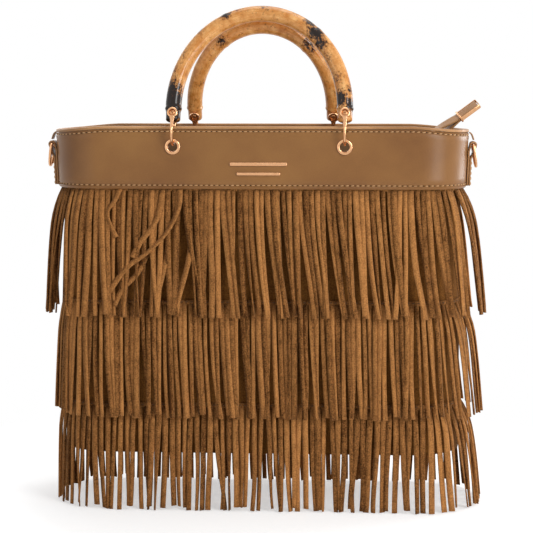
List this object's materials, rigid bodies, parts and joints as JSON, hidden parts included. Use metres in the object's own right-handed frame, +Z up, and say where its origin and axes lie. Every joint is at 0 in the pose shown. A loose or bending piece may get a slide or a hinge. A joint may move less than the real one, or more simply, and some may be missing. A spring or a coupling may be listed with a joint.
{
  "type": "fringed suede handbag",
  "caption": "Stiff tote with tiers of cut suede fringe, a smooth leather band, arched bamboo handles on horseshoe shackles, side D-rings and a recessed top zip.",
  "frame": {"origin": "on the ground under the middle of the bag, where the tips of the lowest fringe stand", "axes": "+Z up, +X to the right seen from the front, the front faces -Y"},
  "size_m": [0.3966, 0.1202, 0.4426],
  "materials": {
    "suede": "napped suede",
    "leather": "smooth, low sheen",
    "lining": "woven lining",
    "zip_tape": "woven tape",
    "metal": "polished rose gold plating",
    "bamboo": "varnished bamboo with burn marks"
  },
  "bodies": {
    "bag": {"band_front": "leather", "band_back": "leather", "facing_front": "leather", "facing_back": "leather", "rim_piping": "leather", "body_front": "suede", "body_back": "suede", "base_panel": "leather", "lining": "lining", "fringe_top_front": "suede", "fringe_top_back": "suede", "fringe_middle_front": "suede", "fringe_middle_back": "suede", "fringe_bottom_front": "suede", "fringe_bottom_back": "suede", "eyelet_front_left": "metal", "eyelet_front_right": "metal", "eyelet_back_left": "metal", "eyelet_back_right": "metal", "eyelet_washer_front_left": "metal", "eyelet_washer_front_right": "metal", "eyelet_washer_back_left": "metal", "eyelet_washer_back_right": "metal", "ring_tab_left": "leather", "ring_tab_right": "leather", "side_tie_left": "leather", "side_tie_right": "leather", "zip_panel_front": "leather", "zip_panel_back": "leather", "zip_tape_front": "zip_tape", "zip_tape_back": "zip_tape", "zip_teeth_front": "metal", "zip_teeth_back": "metal", "trim_bar_upper": "metal", "trim_bar_lower": "metal"},
    "front_handle": {"front_handle": "bamboo", "shackle_front_left": "metal", "shackle_front_right": "metal", "shackle_screw_front_left": "metal", "shackle_screw_front_right": "metal"},
    "back_handle": {"back_handle": "bamboo", "shackle_back_left": "metal", "shackle_back_right": "metal", "shackle_screw_back_left": "metal", "shackle_screw_back_right": "metal"},
    "ring_left": {"side_ring_left": "metal"},
    "ring_right": {"side_ring_right": "metal"},
    "zip_slider": {"zip_slider": "metal"},
    "zip_pull": {"zip_pull_strap": "leather", "zip_pull_bar": "metal"}
  },
  "joints": [
    {"name": "front_handle_swing", "type": "hinge", "parent": "bag", "child": "front_handle", "pos_m": [0, -0.04295, 0.3328], "axis": [1, 0, 0], "range_deg": [0, 103]},
    {"name": "back_handle_swing", "type": "hinge", "parent": "bag", "child": "back_handle", "pos_m": [0, 0.04295, 0.3328], "axis": [-1, 0, 0], "range_deg": [0, 105]},
    {"name": "ring_left_swing", "type": "hinge", "parent": "bag", "child": "ring_left", "pos_m": [-0.18824, 0, 0.3205], "axis": [0, 1, 0], "range_deg": [0, 150]},
    {"name": "ring_right_swing", "type": "hinge", "parent": "bag", "child": "ring_right", "pos_m": [0.18824, 0, 0.3205], "axis": [0, -1, 0], "range_deg": [0, 150]},
    {"name": "zip_slide", "type": "slide", "parent": "bag", "child": "zip_slider", "axis": [1, 0, 0], "range_m": [-0.27, 0]},
    {"name": "zip_pull_swing", "type": "hinge", "parent": "zip_slider", "child": "zip_pull", "pos_m": [0.135, 0, 0.3149], "axis": [0, 1, 0], "range_deg": [-114, 7]}
  ]
}
